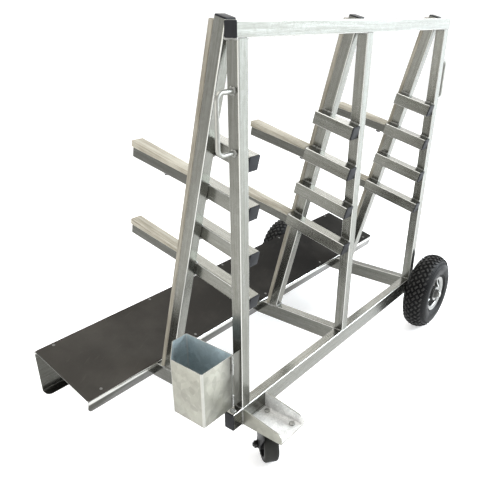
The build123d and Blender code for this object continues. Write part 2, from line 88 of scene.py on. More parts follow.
class Finish:  # one material and the nodes that make it
    def __init__(self, name):
        self.material = bpy.data.materials.new(name)
        self.material.use_nodes = True
        self.tree = self.material.node_tree
        self.shader = self.tree.nodes["Principled BSDF"]

    def node(self, kind, settings, inputs, out=0):
        made = self.tree.nodes.new(kind)
        for key, value in settings.items():
            if key == "stops":
                while len(made.color_ramp.elements) < len(value):
                    made.color_ramp.elements.new(0.5)
                for element, (place, colour) in zip(made.color_ramp.elements, value):
                    element.position = place
                    element.color = (*colour, 1)
            else:
                setattr(made, key, value)
        for key, value in inputs.items():
            self.feed(made.inputs[key], value)
        return Wire(self, made.outputs[out])

    def feed(self, socket, value):
        if isinstance(value, Wire):
            self.tree.links.new(value.socket, socket)
        else:
            socket.default_value = value

    def set(self, **sockets):  # Base_Color means the Base Color socket
        for key, value in sockets.items():
            self.feed(self.shader.inputs[key.replace("_", " ")], value)
        return self

    def spot(self):  # where on the piece
        return self.node("ShaderNodeTexCoord", {}, {}, out=3)

    def place(self, stretch=(1, 1, 1), turn=(0, 0, 0)):  # the pattern's own space, turned and stretched
        return self.node("ShaderNodeMapping", {"vector_type": "TEXTURE"},
                         {"Vector": self.spot(), "Rotation": turn, "Scale": stretch})

    def measure(self, spot, axis):  # 0, 1 and 2 for X, Y and Z
        return self.node("ShaderNodeSeparateXYZ", {}, {0: spot}, axis)

    def fromAxle(self, spot, centre):  # distance from an axle that runs along Y
        flat = self.node("ShaderNodeVectorMath", {"operation": "MULTIPLY"}, {0: spot, 1: (1, 0, 1)})
        return self.node("ShaderNodeVectorMath", {"operation": "DISTANCE"},
                         {0: flat, 1: (centre.x, 0, centre.z)}, 1)

    def mark(self, name):  # a number kept on the faces
        return self.node("ShaderNodeAttribute", {"attribute_name": name}, {}, out=2)

    def clouds(self, spot, scale, detail=3, rough=0.55):
        return self.node("ShaderNodeTexNoise", {}, {"Vector": spot, "Scale": scale, "Detail": detail,
                                                    "Roughness": rough})

    def spangle(self, spot, scale):  # a grey of its own for each zinc crystal
        cells = self.node("ShaderNodeTexVoronoi", {}, {"Vector": spot, "Scale": scale}, 1)
        return self.node("ShaderNodeRGBToBW", {}, {0: cells})

    def ramp(self, value, stops, shade=1):
        shaded = [(place, [shade * part for part in colour]) for place, colour in stops]
        return self.node("ShaderNodeValToRGB", {"stops": shaded}, {0: value})

    def curve(self, value, low, high):  # 0 below low, 1 above high
        return self.node("ShaderNodeMapRange", {"interpolation_type": "SMOOTHSTEP"},
                         {"Value": value, "From Min": low, "From Max": high})

    def mix(self, share, first, second):
        return self.node("ShaderNodeMix", {"data_type": "RGBA"}, {0: share, 6: first, 7: second}, 2)

    def relief(self, height, strength, depth):
        return self.node("ShaderNodeBump", {}, {"Height": height, "Strength": strength, "Distance": depth})


lean = math.radians(14.75)
along = Vector((0, math.cos(lean), math.sin(lean)))  # up the deck and the sleeves
upward = Vector((0, -math.sin(lean), math.cos(lean)))  # square to the deck and up the legs
deckFold = (0, 0.041, 0.197)  # the middle of the tray's front fold
slim = 0.025  # the width of a streak against its length
zincLook = {
    "patches": 9, "runs": 5, "lines": 34, "spangle": 110,
    "tones": [(0.37, (0.145, 0.1445, 0.126)), (0.5, (0.183, 0.183, 0.164)), (0.63, (0.231, 0.233, 0.215))],
    # the last line holds painted highlights: the pale colour and share for tube corners, and the height band
    # of the painted highlight along the tray's front fold
    "cornerHighlight": (0.85, 0.85, 0.82, 1), "cornerHighlightShare": 0.6, "foldHighlightBand": (0.014, 0.009),
}


def galvanised(name, stretch, turn=(0, 0, 0), shade=1.0, bend=None):  # dipped zinc with long runs
    finish = Finish(name)
    still = finish.place()
    drawn = finish.place(stretch, turn)
    patches = finish.clouds(still, zincLook["patches"], 4, 0.55)
    runs = finish.clouds(drawn, zincLook["runs"], 3, 0.5)
    lines = finish.clouds(drawn, zincLook["lines"], 3, 0.55)
    spangle = finish.spangle(still, zincLook["spangle"])
    tone = 0.1 * patches + 0.4 * runs + 0.43 * lines + 0.07 * spangle
    colour = finish.ramp(tone, zincLook["tones"], shade)
    if bend:  # painted highlight along the front fold
        level = finish.node("ShaderNodeVectorMath", {"operation": "DOT_PRODUCT"}, {0: still, 1: upward}, 1)
        low, high = [Vector(deckFold).dot(upward) - drop for drop in zincLook["foldHighlightBand"]]
        colour = finish.mix(finish.mark("bend") * finish.curve(level, low, high), colour, bend)
    # painted highlight: the rounded corners of the tubes are mixed towards a pale zinc and made less
    # metallic, standing in for light caught on the edges
    cornerHighlight = finish.mark("corner")
    colour = finish.mix(zincLook["cornerHighlightShare"] * cornerHighlight, colour, zincLook["cornerHighlight"])
    dull = finish.curve(patches, 0.5, 0.7)
    grooves = 0.35 * finish.clouds(still, 120, 2) + 0.65 * lines
    return finish.set(Base_Color=colour, Metallic=0.92 - 0.06 * dull - 0.5 * cornerHighlight,
                      Roughness=0.17 + 0.1 * runs + 0.05 * dull, Normal=finish.relief(grooves, 0.15, 0.0006))


zincAlongX = galvanised("galvanisedAlongX", (1, slim, slim))
# painted shade: the cross tubes get a darker copy of the zinc
zincPaintedShadeAlongY = galvanised("galvanisedPaintedShadeAlongY", (slim, 1, slim), (0, 0, 0), 0.82)
zincAlongZ = galvanised("galvanisedAlongZ", (slim, slim, 1))
zincUpLeg = galvanised("galvanisedUpLeg", (slim, slim, 1), (lean, 0, 0))
zincAlongArm = galvanised("galvanisedAlongArm", (slim, 1, slim), (lean, 0, 0))
# painted shade: the arm tubes get a darker copy of the zinc
zincOfArmPaintedShade = galvanised("galvanisedOfArmPaintedShade", (slim, 1, slim), (lean, 0, 0), 0.55)
# painted shade and highlight: the tray is a darker copy of the zinc, and its last colour is the painted
# highlight along the front fold
zincTrayPaintedShadeAndHighlight = galvanised("galvanisedTrayPaintedShadeAndHighlight", (1, slim, slim), (0, 0, 0), 0.45, (0.62, 0.62, 0.6, 1))
zincPlate = galvanised("galvanisedPlate", (0.6, 0.8, 1), (0, 0, 0), 1.2)


sheetLook = {
    "patches": 14, "spangle": 70, "lights": ((0.32, 0.8), (0.5, 1), (0.68, 1.22)),
    # the first colour is the painted shade on the outer faces
    "paintedShade": (0.05, 0.049, 0.042, 1), "specks": (0.12, 0.12, 0.115, 1),
    # the pale colour is the painted highlight on the sheet's thin edge faces
    "edgeHighlight": (0.55, 0.55, 0.525, 1), "edgeHighlightWidth": 0.003,
}


def foldedFinish(name, outside, inside, frost, paintedShadeSpan):  # two tones, the inner one a painted light on faces that look inwards, the outer one darkened towards one end as painted shade
    finish = Finish(name)
    still = finish.place()
    patches = finish.clouds(still, sheetLook["patches"], 4, 0.6)
    paintedLightInside = finish.mark("inside")
    tone = 0.75 * patches + 0.25 * finish.spangle(still, sheetLook["spangle"])
    # painted light: faces that look inwards get the lighter inner tone and are made less metallic
    outer, inner = [finish.ramp(tone, [(place, [light * part for part in hue])
                                       for place, light in sheetLook["lights"]])
                    for hue in (outside, inside)]
    # painted shade: the outside darkens along X between the two given places
    paintedShade = finish.curve(finish.measure(finish.spot(), 0), *paintedShadeSpan) * (1 - paintedLightInside)
    specks = finish.curve(finish.clouds(still, 240, 3, 0.7), 0.42, 0.6)
    outer = finish.mix(0.72 * paintedShade, outer, sheetLook["paintedShade"])
    inner = finish.mix(0.3 * frost * specks, inner, sheetLook["specks"])
    colour = finish.mix(paintedLightInside, outer, inner)
    # painted highlight: the thin faces along the sheet's edges are mixed towards a pale zinc
    colour = finish.mix(0.5 * finish.mark("edge"), colour, sheetLook["edgeHighlight"])
    return finish.set(Base_Color=colour, Metallic=0.8 - frost * paintedLightInside, Roughness=0.28 + 0.14 * patches,
                      Normal=finish.relief(patches, 0.12, 0.0012))


# painted light on the inside: pale blue in the bin, near white in the bracket; the last pair sets where the
# painted shade on the outside runs along X
binSheet = foldedFinish("binSheet", (0.293, 0.291, 0.252), (0.4, 0.47, 0.495), 0.3, (-0.6, -0.553))
bracketSheet = foldedFinish("bracketSheet", (0.25, 0.248, 0.215), (0.72, 0.72, 0.705), 0.6, (-0.3, -0.2))


lathTones = [(0.36, (0.28, 0.25, 0.19)), (0.5, (0.5, 0.465, 0.385)), (0.64, (0.68, 0.655, 0.56))]


def lathFinish(name, stretch, turn, shade):  # weathered laths with long grain
    finish = Finish(name)
    drawn = finish.place(stretch, turn)
    grain = finish.clouds(drawn, 7, 6, 0.7)
    blotch = finish.clouds(finish.place(), 12)
    tone = 0.75 * grain + 0.25 * blotch
    colour = finish.ramp(tone, lathTones, shade)
    return finish.set(Base_Color=colour, Roughness=0.45 + 0.3 * grain, Specular_IOR_Level=0.12,
                      Normal=finish.relief(grain, 0.35, 0.0008))


legLath = lathFinish("legLath", (slim, slim, 1), (lean, 0, 0), 0.5)
armLath = lathFinish("armLath", (slim, 1, slim), (lean, 0, 0), 0.68)


boardLook = {"clean": (0.0085, 0.0082, 0.0078, 1), "worn": (0.056, 0.052, 0.0465, 1),
             "scuffs": ((1, 0.07, 0.07), (0, 0, 0.35)), "wornEnd": (-0.5, 0.9)}


def boardFinish():  # dark film-faced board, dusty and scuffed
    finish = Finish("deckFilm")
    still = finish.place()
    dust = finish.curve(finish.clouds(still, 4.5, 5, 0.62), 0.38, 0.72)
    scuffs = finish.curve(finish.clouds(finish.place(*boardLook["scuffs"]), 10, 4), 0.6, 0.78)
    grit = finish.curve(finish.clouds(still, 260, 2), 0.62, 0.75)
    pebble = finish.clouds(still, 700, 1)
    nearEnd = finish.curve(-1 * finish.measure(finish.spot(), 0), *boardLook["wornEnd"])
    wear = 0.34 * dust + 0.2 * scuffs + 0.14 * grit + 0.75 * nearEnd
    colour = finish.mix(wear, boardLook["clean"], boardLook["worn"])
    return finish.set(Base_Color=colour, Roughness=0.66 + 0.2 * dust, Specular_IOR_Level=0.03,
                      Normal=finish.relief(pebble, 0.3, 0.0003))


def mouldedFinish(name, dark, light, rough):  # black plastic, paint or rubber
    finish = Finish(name)
    still = finish.place()
    cloud = finish.clouds(still, 30, 3)
    grain = finish.clouds(still, 1200, 1)
    colour = finish.mix(cloud, (*dark, 1), (*light, 1))
    return finish.set(Base_Color=colour, Roughness=rough + 0.15 * cloud, Specular_IOR_Level=0.12,
                      Normal=finish.relief(grain, 0.25, 0.0002))


def tyreFinish(end, centre):  # black rubber with a little road dust in patches, and the tops of the blocks lighter as a painted highlight
    finish = Finish(f"{end}TyreRubber")
    still = finish.place()
    spot = finish.spot()
    across = finish.measure(spot, 1) - centre.y
    outward = ((finish.fromAxle(spot, centre) - tyreShape["roundCentre"]) ** 2 + across ** 2) ** 0.5
    topHighlight = finish.curve(outward, tyreShape["round"] + tyreShape["topHighlightFrom"],
                        tyreShape["round"] + tyreShape["knobHeight"])
    dust = finish.curve(finish.clouds(still, 24, 4, 0.65), 0.4, 0.75)
    fine = finish.clouds(still, 600, 2)
    # the pale colour serves both the road dust and the painted highlight on the tops of the blocks
    share = 0.2 * dust + 0.8 * topHighlight
    colour = finish.mix(share, tyreShape["rubber"], tyreShape["dust"])
    return finish.set(Base_Color=colour, Roughness=0.42 + 0.25 * dust, Specular_IOR_Level=0.1,
                      Normal=finish.relief(fine, 0.3, 0.0003))


def platedFinish(name, dark, light, rough):  # bright plated steel
    finish = Finish(name)
    still = finish.place()
    cloud = finish.clouds(still, 40, 3)
    fine = finish.clouds(still, 500, 2)
    colour = finish.mix(cloud, (*dark, 1), (*light, 1))
    return finish.set(Base_Color=colour, Metallic=0.85, Roughness=rough + 0.15 * cloud,
                      Normal=finish.relief(fine, 0.15, 0.0003))


bearingLook = {"sealStart": (0.0134, 0.0138), "sealEnd": (0.0199, 0.0203), "race": (0.45, 0.45, 0.44, 1),
               "seal": (0.02, 0.02, 0.02, 1)}


def bearingFinish(axle):  # black seals between steel races, told apart by their distance from the axle
    finish = Finish("bearingSteel")
    reach = finish.fromAxle(finish.spot(), axle)
    seal = finish.curve(reach, *bearingLook["sealStart"]) - finish.curve(reach, *bearingLook["sealEnd"])
    oil = finish.clouds(finish.place(), 60, 3)
    colour = finish.mix(seal, bearingLook["race"], bearingLook["seal"])
    return finish.set(Base_Color=colour, Metallic=0.9 - 0.9 * seal, Roughness=0.25 + 0.2 * oil + 0.15 * seal)


deckFilm = boardFinish()
plugPlastic = mouldedFinish("plugPlastic", (0.008, 0.0083, 0.0098), (0.024, 0.0247, 0.028), 0.42)
casterPaint = mouldedFinish("casterPaint", (0.008, 0.008, 0.009), (0.02, 0.02, 0.021), 0.36)
casterRubber = mouldedFinish("casterRubber", (0.014, 0.0145, 0.0135), (0.034, 0.034, 0.031), 0.55)
rimPlate = platedFinish("rimPlate", (0.17, 0.17, 0.164), (0.3, 0.3, 0.29), 0.18)
boltZinc = platedFinish("boltZinc", (0.25, 0.25, 0.235), (0.46, 0.46, 0.44), 0.26)
axleZinc = platedFinish("axleZinc", (0.1, 0.1, 0.094), (0.24, 0.24, 0.23), 0.24)
handleZinc = platedFinish("handleZinc", (0.2, 0.2, 0.182), (0.36, 0.36, 0.335), 0.34)
darkBolt = platedFinish("darkBolt", (0.02, 0.02, 0.02), (0.055, 0.055, 0.054), 0.38)
weldMetal = platedFinish("weldMetal", (0.13, 0.13, 0.122), (0.42, 0.42, 0.4), 0.24)
screwZinc = platedFinish("screwZinc", (0.1, 0.1, 0.095), (0.22, 0.22, 0.21), 0.42)
bearingSteel = bearingFinish(centreOf("axle"))
print("finishes made")


def deselect():
    if bpy.context.object and bpy.context.object.mode != "OBJECT":
        bpy.ops.object.mode_set(mode="OBJECT")
    bpy.ops.object.select_all(action="DESELECT")


def choose(piece):  # the only selected and active object
    deselect()
    piece.select_set(True)
    bpy.context.view_layer.objects.active = piece


def editAll():
    bpy.context.tool_settings.mesh_select_mode = (True, False, False)
    bpy.ops.object.mode_set(mode="EDIT")
    bpy.ops.mesh.select_all(action="SELECT")


def pick(piece, test):  # into edit mode, with the faces that pass the test selected
    bpy.ops.object.mode_set(mode="OBJECT")
    bpy.context.tool_settings.mesh_select_mode = (False, False, True)
    for part in (piece.data.vertices, piece.data.edges):
        for item in part:
            item.select = False
    for face in piece.data.polygons:
        face.select = test(face)
    bpy.ops.object.mode_set(mode="EDIT")


def applyModifier(piece, kind, **settings):
    choose(piece)
    modifier = piece.modifiers.new(kind.title(), kind)
    for key, value in settings.items():
        setattr(modifier, key, value)
    bpy.ops.object.modifier_apply(modifier=modifier.name)


def bevel(piece, width, segments=2, angle=40):
    applyModifier(piece, "BEVEL", width=width, segments=segments, limit_method="ANGLE",
                  angle_limit=math.radians(angle))


def moved(piece, matrix):  # the piece's mesh carried to its place, its object left at the origin
    piece.matrix_world = matrix
    choose(piece)
    bpy.ops.object.transform_apply(location=True, rotation=True, scale=True)
    return piece


def copied(piece, matrix):
    twin = bpy.data.objects.new(piece.name, piece.data.copy())
    twin.data.transform(matrix)
    bpy.context.collection.objects.link(twin)
    return twin


def joined(pieces):
    deselect()
    for piece in pieces:
        piece.select_set(True)
    bpy.context.view_layer.objects.active = pieces[0]
    bpy.ops.object.join()
    return bpy.context.object


def fit(piece, name, finish, body, replaced=(), angle=35):  # named, coloured and carried by a body
    moved(piece, piece.matrix_world.copy())
    bpy.ops.object.shade_smooth_by_angle(angle=math.radians(angle))
    piece.name = name
    piece.data.name = name
    piece.data.materials.clear()
    piece.data.materials.append(finish.material)
    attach(piece, body)
    if replaced:
        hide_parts(*replaced)
    return piece


def bodyOf(node):
    return next(body for body, nodes in frame["record"]["behaviour"]["bodies"].items() if node in nodes)


def eased(node, name, finish, edge, angle=40):  # a CAD node with its sharp edges broken
    piece = bpy.data.objects.new(name, frame["nodes"][node].data.copy())
    bpy.context.collection.objects.link(piece)
    choose(piece)
    bpy.ops.mesh.customdata_custom_splitnormals_clear()
    editAll()
    bpy.ops.mesh.remove_doubles(threshold=0.00001)
    bpy.ops.mesh.dissolve_limited(angle_limit=math.radians(0.6))
    bpy.ops.object.mode_set(mode="OBJECT")
    bevel(piece, edge, 2, angle)
    return fit(piece, name, finish, bodyOf(node), [node])


def turned(outline, steps, centre=(0, 0, 0), closed=True):  # (radius, place along Y) outline spun about Y
    spots = [Vector((0, place, radius)) for radius, place in outline]
    deselect()
    bpy.ops.mesh.primitive_plane_add(size=0.01, location=centre)
    piece = bpy.context.object
    editAll()
    bpy.ops.mesh.merge(type="CENTER")
    bpy.ops.transform.translate(value=spots[0])
    for last, spot in zip(spots, spots[1:] + spots[:1] if closed else spots[1:]):
        bpy.ops.mesh.extrude_region_move(TRANSFORM_OT_translate={"value": spot - last})
    bpy.ops.mesh.select_all(action="SELECT")
    bpy.ops.mesh.spin(steps=steps, angle=2 * math.pi, center=centre, axis=(0, 1, 0))
    bpy.ops.mesh.select_all(action="SELECT")
    bpy.ops.mesh.remove_doubles(threshold=0.00001)
    bpy.ops.mesh.normals_make_consistent(inside=False)
    bpy.ops.object.mode_set(mode="OBJECT")
    return piece


def ringed(piece, count, centre):  # copies of the piece all round the axle, in one mesh
    choose(piece)
    editAll()
    bpy.ops.mesh.spin(steps=count - 1, dupli=True, angle=2 * math.pi * (count - 1) / count, center=centre,
                      axis=(0, 1, 0))
    bpy.ops.object.mode_set(mode="OBJECT")
    return piece


def arcThrough(first, middle, last, count):  # points on the round stretch from first to last
    ax, ay = first
    bx, by = middle
    cx, cy = last
    scale = 2 * (ax * (by - cy) + bx * (cy - ay) + cx * (ay - by))
    ox = ((ax**2 + ay**2) * (by - cy) + (bx**2 + by**2) * (cy - ay) + (cx**2 + cy**2) * (ay - by)) / scale
    oy = ((ax**2 + ay**2) * (cx - bx) + (bx**2 + by**2) * (ax - cx) + (cx**2 + cy**2) * (bx - ax)) / scale
    start = math.atan2(ay - oy, ax - ox)
    turn = (math.atan2(cy - oy, cx - ox) - start + math.pi) % (2 * math.pi) - math.pi
    size = math.hypot(ax - ox, ay - oy)
    angles = [start + turn * step / count for step in range(count + 1)]
    return [(ox + size * math.cos(angle), oy + size * math.sin(angle)) for angle in angles]


def hexHead(flats, height, edge):  # a bolt head standing up from the origin, its corners turned down
    deselect()
    bpy.ops.mesh.primitive_cylinder_add(vertices=6, radius=flats / math.sqrt(3), depth=height,
                                        location=(0, 0, height / 2))
    head = bpy.context.object
    pick(head, lambda face: face.normal.z > 0.9)
    bpy.ops.mesh.bevel(offset=edge, segments=2, affect="EDGES")
    pick(head, lambda face: face.normal.z > 0.9 and face.area > flats**2 / 4)
    bpy.ops.mesh.inset(thickness=flats * 0.12)
    bpy.ops.transform.translate(value=(0, 0, edge * 0.3))
    bpy.ops.object.mode_set(mode="OBJECT")
    return head


places = ("near", "mid", "far")
tubes = {"post": (zincAlongZ, 0), "cross_tube": (zincPaintedShadeAlongY, 0), "leg": (zincUpLeg, lean),
         "sleeves": (zincAlongArm, lean), "upper_arm": (zincOfArmPaintedShade, lean), "lower_arm": (zincOfArmPaintedShade, lean)}
flatEnough = 0.91  # a facet that faces no side of its tube as squarely as this is part of a corner


def markCornerHighlights(node, tilt=0):  # marks the rounded corners of a tube, which get a painted highlight
    mesh = frame["nodes"][node].data
    mark = mesh.attributes.new("corner", "FLOAT", "FACE")
    sides = Matrix.Rotation(tilt, 3, "X").col
    for face in mesh.polygons:
        square = max(abs(face.normal.dot(side)) for side in sides)
        mark.data[face.index].value = 1 if square < flatEnough else 0


# CAD nodes that keep their shape
for node, finish in {
    "bottom_beam": zincAlongX, "top_beam": zincAlongX, "near_handle": handleZinc, "far_handle": handleZinc,
    "axle": boltZinc, "axle_hangers": zincPlate, "axle_fasteners": axleZinc, "caster_kingpin": boltZinc,
    "caster_core": casterPaint, "caster_tread": casterRubber,
}.items():
    frame["nodes"][node].material_slots[0].material = finish.material
for place in places:
    for part, (finish, tilt) in tubes.items():
        frame["nodes"][f"{place}_{part}"].material_slots[0].material = finish.material
        markCornerHighlights(f"{place}_{part}", tilt)
for end in ("front", "rear"):
    for part, finish in {"outer_rim": rimPlate, "inner_rim": rimPlate, "hub": rimPlate,
                         "bearings": bearingSteel}.items():
        frame["nodes"][f"{end}_{part}"].material_slots[0].material = finish.material
for node in ("bottom_beam", "top_beam"):
    markCornerHighlights(node)
print("tubes coloured")

brokenEdges = {"board": 0.0009, "tray": 0.0005, "bin": 0.0006, "bracket": 0.0008, "lath": 0.0014,
               "bolt": 0.0006, "fork": 0.0008, "plug": 0.0007}
eased("deck_board", "deckBoard", deckFilm, brokenEdges["board"])
tray = eased("deck_tray", "deckTray", zincTrayPaintedShadeAndHighlight, brokenEdges["tray"])
fold = tray.data.attributes.new("bend", "FLOAT", "FACE")
for face in tray.data.polygons:  # the front lip and its fold, marked for a painted highlight
    fold.data[face.index].value = 1 if face.normal.y < -0.3 else 0
toolBin = eased("tool_bin", "toolBin", binSheet, brokenEdges["bin"])
bracket = eased("caster_bracket", "casterBracket", bracketSheet, brokenEdges["bracket"])
for piece in (toolBin, bracket):
    low, high = [Vector(corner) for corner in (piece.bound_box[0], piece.bound_box[6])]
    for name in ("inside", "edge"):
        piece.data.attributes.new(name, "FLOAT", "FACE")
    spots = piece.data.vertices
    for face in piece.data.polygons:  # faces that look towards the middle, for a painted light, and the sheet's cut edges, for a painted highlight
        inward = face.normal.dot(face.center - (low + high) / 2) < 0
        girth = sum((spots[start].co - spots[end].co).length for start, end in face.edge_keys)
        piece.data.attributes["inside"].data[face.index].value = 1 if inward else 0
        thin = 2 * face.area / girth < sheetLook["edgeHighlightWidth"]
        piece.data.attributes["edge"].data[face.index].value = 1 if thin else 0
eased("caster_fork", "casterFork", casterPaint, brokenEdges["fork"])
eased("caster_top_plate", "casterTopPlate", casterPaint, brokenEdges["fork"])
eased("caster_bolts", "casterBolts", boltZinc, brokenEdges["bolt"])
eased("caster_axle_bolt", "casterAxleBolt", darkBolt, brokenEdges["bolt"])
eased("sleeve_plugs", "sleevePlugs", plugPlastic, brokenEdges["plug"], 15)
eased("tube_plugs", "tubePlugs", plugPlastic, brokenEdges["plug"], 15)
for place in places:
    eased(f"{place}_leg_strip", f"{place}LegLath", legLath, brokenEdges["lath"])
    eased(f"{place}_upper_bolt", f"{place}ArmBolt", darkBolt, brokenEdges["bolt"])
    for level in ("upper", "lower"):
        eased(f"{place}_{level}_strip", f"{place}{level.title()}ArmLath", armLath,
              brokenEdges["lath"])
print("sheets, laths, plugs and bolts eased")

tyreShape = {
    "round": 0.0454, "roundCentre": 0.0916, "roundEnd": 55.5, "steps": 96,
    "knobs": 40, "knobLength": 0.014, "knobWidth": 0.0078, "knobHeight": 0.0037, "knobRoot": 0.0065,
    "knobTurn": 35, "knobEdge": 0.0009, "rows": [-37.5, -22.5, -7.5, 7.5, 22.5, 37.5],
    "ribs": 80, "ribLength": 0.011, "ribWidth": 0.0024, "ribHeight": 0.0008, "ribRoot": 0.003,
    "ribAngle": 57, "ribTurn": 18, "ribEdge": 0.0005,
    "skin": 0.0054, "wall": ((0.0958, 0.045), (0.067, 0.0346)),  # points of the half outline: radius, place
    "bead": [(0.0567, 0.0307), (0.053, 0.027), (0.053, 0.019)], "inside": ((0.063, 0.026), (0.0948, 0.0383)),
    "rings": ((0.077, 0.001, 0.0016), (0.103, 0.0007, 0.0012)),  # radius, rise and width
    # the pale colour is both the road dust and the painted highlight on the tops of the blocks
    "rubber": (0.0026, 0.0027, 0.003, 1), "dust": (0.042, 0.0416, 0.0395, 1), "topHighlightFrom": 0.002,
}


def crownPoint(reach, angle):
    turn = math.radians(angle)
    return tyreShape["roundCentre"] + reach * math.cos(turn), reach * math.sin(turn)


def tyreHalf():  # from the crown down the outer wall, round the bead and back up inside
    outside, end = tyreShape["round"], tyreShape["roundEnd"]
    inside = outside - tyreShape["skin"]
    crown = [crownPoint(outside, end * step / 14) for step in range(15)]
    wall = []
    for radius, place in arcThrough(crown[-1], *tyreShape["wall"], 32)[1:]:
        for ring, rise, width in tyreShape["rings"]:  # moulded rings on the side wall
            place += rise * math.exp(-((radius - ring) / width) ** 2)
        wall.append((radius, place))
    inner = arcThrough(*tyreShape["inside"], crownPoint(inside, end), 10)
    cavity = [crownPoint(inside, end * (6 - step) / 7) for step in range(6)]
    return crown + wall + tyreShape["bead"] + inner + cavity


def treadBlock(length, width, height, edge):  # a tapering block with softened edges, its top at the origin
    deselect()
    bpy.ops.mesh.primitive_cube_add(size=1, location=(0, 0, -height / 2), scale=(length, width, height))
    block = bpy.context.object
    bpy.ops.object.transform_apply(location=True, scale=True)
    pick(block, lambda face: face.normal.z > 0.9)
    bpy.ops.transform.resize(value=(0.84, 0.76, 1))
    bpy.ops.object.mode_set(mode="OBJECT")
    bevel(block, edge)
    return block


def onTyre(centre, reach, angle, turn, start):  # the place of a block on the crown, its top outwards
    radius, place = crownPoint(reach, angle)
    stand = Matrix.Translation(centre) @ Matrix.Rotation(start, 4, "Y")
    stand = stand @ Matrix.Translation((0, place, radius)) @ Matrix.Rotation(math.radians(-angle), 4, "X")
    return stand @ Matrix.Rotation(math.radians(turn), 4, "Z")


def knobbyTyre(end):
    centre = centreOf(f"{end}_tyre")
    half = tyreHalf()
    outline = half + [(radius, -place) for radius, place in reversed(half) if place > 0]
    parts = [turned(outline, tyreShape["steps"], centre)]
    count = tyreShape["knobs"]
    for row, angle in enumerate(tyreShape["rows"]):
        knob = treadBlock(tyreShape["knobLength"], tyreShape["knobWidth"], tyreShape["knobRoot"],
                          tyreShape["knobEdge"])
        turn = tyreShape["knobTurn"] if row % 2 else -tyreShape["knobTurn"]
        reach = tyreShape["round"] + tyreShape["knobHeight"]
        moved(knob, onTyre(centre, reach, angle, turn, math.pi / count * (row % 2)))
        parts.append(ringed(knob, count, centre))
    for way in (-1, 1):
        rib = treadBlock(tyreShape["ribWidth"], tyreShape["ribLength"], tyreShape["ribRoot"],
                         tyreShape["ribEdge"])
        moved(rib, onTyre(centre, tyreShape["round"] + tyreShape["ribHeight"], way * tyreShape["ribAngle"],
                          way * tyreShape["ribTurn"], 0))
        parts.append(ringed(rib, tyreShape["ribs"], centre))
    return fit(joined(parts), f"{end}Tyre", tyreFinish(end, centre), f"{end}_wheel",
               [f"{end}_tyre"])


rimFittings = {
    "bolts": 4, "boltCircle": 0.034, "boltTurn": 45, "boltEdge": 0.0006, "disc": 0.0022, "flats": 0.013,
    "head": 0.0053, "nut": 0.0065,
    "valveTurn": 38, "valveRoot": 0.05, "valvePlace": 0.022, "valveLean": 58, "valveSteps": 20,
    "valve": [(0, -0.002), (0.006, -0.002), (0.0055, 0.003), (0.0034, 0.006), (0.0034, 0.02),
              (0.0042, 0.0205), (0.0042, 0.029), (0.003, 0.031), (0, 0.031)],  # radius, height
}


def rimBolts(end):  # hexagon heads outside and nuts inside, round the two discs
    centre = centreOf(f"{end}_hub")
    parts = []
    for way, height in ((-1, rimFittings["head"]), (1, rimFittings["nut"])):
        head = hexHead(rimFittings["flats"], height, rimFittings["boltEdge"])
        stand = Matrix.Translation(centre) @ Matrix.Rotation(math.radians(rimFittings["boltTurn"]), 4, "Y")
        stand = stand @ Matrix.Translation((0, way * rimFittings["disc"], rimFittings["boltCircle"]))
        moved(head, stand @ Matrix.Rotation(math.radians(-90 * way), 4, "X"))
        parts.append(ringed(head, rimFittings["bolts"], centre))
    return fit(joined(parts), f"{end}RimBolts", boltZinc, f"{end}_wheel")


def valveStem(end, way):  # a stepped stem and its cap, leaning out of the rim's barrel
    stem = turned(rimFittings["valve"], rimFittings["valveSteps"], closed=False)
    centre = centreOf(f"{end}_hub")
    stand = Matrix.Translation(centre) @ Matrix.Rotation(math.radians(rimFittings["valveTurn"]), 4, "Y")
    stand = stand @ Matrix.Translation((0, way * rimFittings["valvePlace"], rimFittings["valveRoot"]))
    tilt = -rimFittings["valveLean"] if way > 0 else 180 + rimFittings["valveLean"]
    moved(stem, stand @ Matrix.Rotation(math.radians(tilt), 4, "X"))
    return fit(stem, f"{end}Valve", boltZinc, f"{end}_wheel")


for end, way in (("front", -1), ("rear", 1)):
    knobbyTyre(end)
    rimBolts(end)
    valveStem(end, way)
print("wheels dressed")

deckScrews = {"along": [-0.7, -0.35, 0, 0.35, 0.7], "across": [0.0165, 0.2255], "board": 0.004,
              "radius": 0.0042, "height": 0.0015, "seed": 3}


def panHead():  # a low round head with a cross recess
    radius, height = deckScrews["radius"], deckScrews["height"]
    deselect()
    bpy.ops.mesh.primitive_cylinder_add(vertices=24, radius=radius, depth=height,
                                        location=(0, 0, height / 2))
    head = bpy.context.object
    pick(head, lambda face: face.normal.z > 0.9)
    bpy.ops.mesh.bevel(offset=height * 0.7, segments=3, affect="EDGES")
    bpy.ops.object.mode_set(mode="OBJECT")
    for turn in (0, 90):  # the two slots of the recess
        deselect()
        bpy.ops.mesh.primitive_cube_add(size=1, location=(0, 0, height),
                                        scale=(radius * 1.05, radius * 0.24, height * 0.9))
        slot = bpy.context.object
        moved(slot, Matrix.Rotation(math.radians(turn), 4, "Z") @ slot.matrix_world)
        applyModifier(head, "BOOLEAN", operation="DIFFERENCE", object=slot, solver="EXACT")
        bpy.data.objects.remove(slot)
    return head


def deckFixings():
    dice = random.Random(deckScrews["seed"])
    head = panHead()
    heads = []
    for shift in deckScrews["along"]:
        for across in deckScrews["across"]:
            spot = Vector(deckFold) + Vector((shift, 0, 0)) + along * across + upward * deckScrews["board"]
            turn = Matrix.Rotation(dice.uniform(0, math.pi / 2), 4, "Z")
            heads.append(copied(head, Matrix.Translation(spot) @ Matrix.Rotation(lean, 4, "X") @ turn))
    bpy.data.objects.remove(head)
    return fit(joined(heads), "deckScrews", screwZinc, "frame")


deckFixings()
print("deck screws set")

